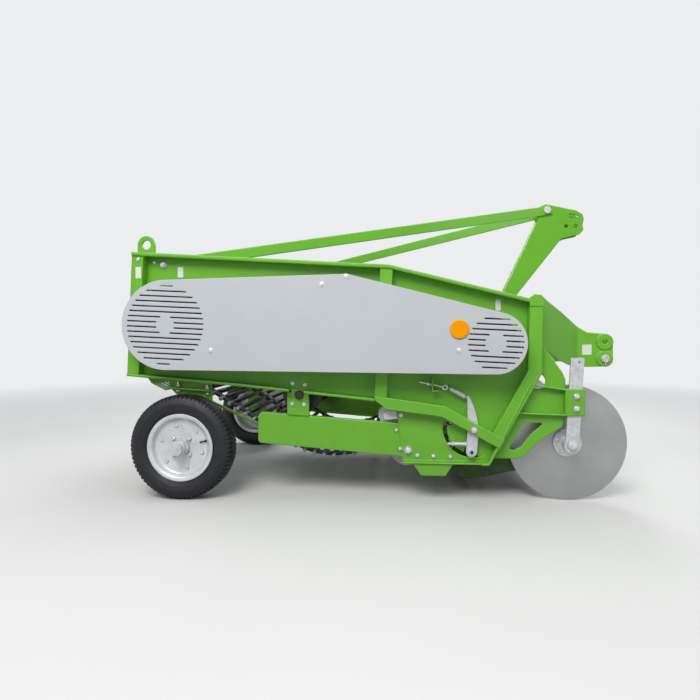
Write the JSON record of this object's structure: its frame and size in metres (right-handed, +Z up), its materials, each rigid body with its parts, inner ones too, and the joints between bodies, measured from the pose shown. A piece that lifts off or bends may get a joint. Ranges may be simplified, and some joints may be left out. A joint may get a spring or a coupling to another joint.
{
  "type": "potato harvester",
  "caption": "Mounted two-row elevator potato digger with a rod web between green side walls, disc coulters, a covered side belt drive, two rear wheels and a hitch mast.",
  "frame": {"origin": "on the ground, under the middle of the bounding box", "axes": "+X forward, towards the tractor; +Y to the machine's left; +Z up"},
  "size_m": [2.72, 1.728, 1.743],
  "materials": {
    "paint": "gloss",
    "cover_paint": "satin",
    "tyre": "matte",
    "wheel_steel": "satin",
    "zinc": "satin",
    "blade_steel": "satin",
    "black_steel": "satin",
    "web_rubber": "matte",
    "roller_plastic": "matte",
    "housing": "satin",
    "reflector": "gloss"
  },
  "bodies": {
    "frame": {"agitator_shaft": "black_steel", "beam_stays": "paint", "bottom_rails": "paint", "braces": "paint", "cheeks": "paint", "disc_arms": "zinc", "disc_brackets": "paint", "drive_belts": "web_rubber", "drive_cover": "cover_paint", "front_bands": "paint", "front_idler": "black_steel", "front_posts": "paint", "front_pulley": "black_steel", "gearbox": "housing", "gearbox_bracket": "paint", "guard_beams": "paint", "guide_shaft": "black_steel", "hangers": "paint", "head_beam": "paint", "hitch_plates": "paint", "lift_lugs": "paint", "link_pins": "zinc", "mast": "paint", "mast_pin": "zinc", "nose_plates": "paint", "pto_shaft": "blade_steel", "rear_cross_tube": "paint", "rear_grate": "paint", "rear_pulley": "black_steel", "return_rollers": "roller_plastic", "rod_web": "web_rubber", "shaft_bearings": "black_steel", "share": "paint", "share_arms": "paint", "side_posts": "paint", "side_reflector": "reflector", "side_shaft": "blade_steel", "side_shaft_tube": "paint", "side_walls": "paint", "skids": "paint", "spring_brackets": "paint", "tension_levers": "zinc", "tension_springs": "zinc", "top_rails": "paint", "top_rollers": "black_steel", "web_drive_shaft": "black_steel", "wheel_legs": "paint"},
    "wheel_right": {"tyre_right": "tyre", "rim_right": "wheel_steel", "hub_right": "zinc"},
    "wheel_left": {"tyre_left": "tyre", "rim_left": "wheel_steel", "hub_left": "zinc"},
    "disc_right": {"blade_right": "blade_steel", "disc_hub_right": "zinc"},
    "disc_left": {"blade_left": "blade_steel", "disc_hub_left": "zinc"}
  },
  "joints": [
    {"name": "wheel_right_spin", "type": "hinge", "parent": "frame", "child": "wheel_right", "pos_m": [-1.047, -0.75, 0.283], "axis": [0, 1, 0], "continuous": true},
    {"name": "wheel_left_spin", "type": "hinge", "parent": "frame", "child": "wheel_left", "pos_m": [-1.047, 0.75, 0.283], "axis": [0, 1, 0], "continuous": true},
    {"name": "disc_right_spin", "type": "hinge", "parent": "frame", "child": "disc_right", "pos_m": [1.033, -0.62, 0.312], "axis": [0, 1, 0], "continuous": true},
    {"name": "disc_left_spin", "type": "hinge", "parent": "frame", "child": "disc_left", "pos_m": [1.033, 0.62, 0.312], "axis": [0, 1, 0], "continuous": true}
  ]
}
